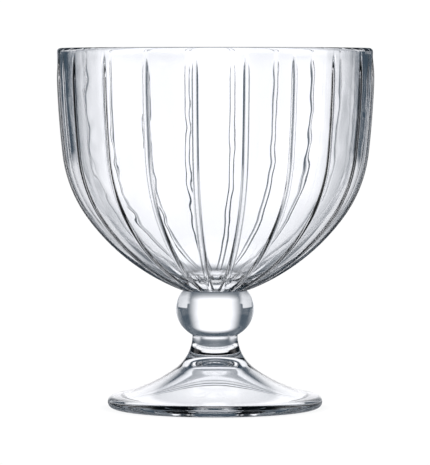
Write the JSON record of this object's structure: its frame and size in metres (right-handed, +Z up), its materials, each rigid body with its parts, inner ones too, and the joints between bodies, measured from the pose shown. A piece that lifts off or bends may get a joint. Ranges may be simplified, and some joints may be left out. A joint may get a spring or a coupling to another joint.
{
  "type": "ribbed ice cream coupe",
  "caption": "Stemmed dessert glass in clear pressed glass: a deep round bowl with beaded upright ribs, on a squashed ball and a hollow trumpet foot.",
  "frame": {"origin": "on the table under the centre of the foot", "axes": "+Z up along the glass's axis, -Y the front, +X to the right seen from the front"},
  "size_m": [0.1038, 0.1038, 0.118],
  "materials": {
    "bowl_glass": "clear pressed glass, fire polished",
    "ball_glass": "clear solid glass, polished",
    "foot_glass": "clear pressed glass, fire polished"
  },
  "bodies": {
    "root": {"bowl": "bowl_glass", "ball": "ball_glass", "foot": "foot_glass"}
  },
  "joints": []
}
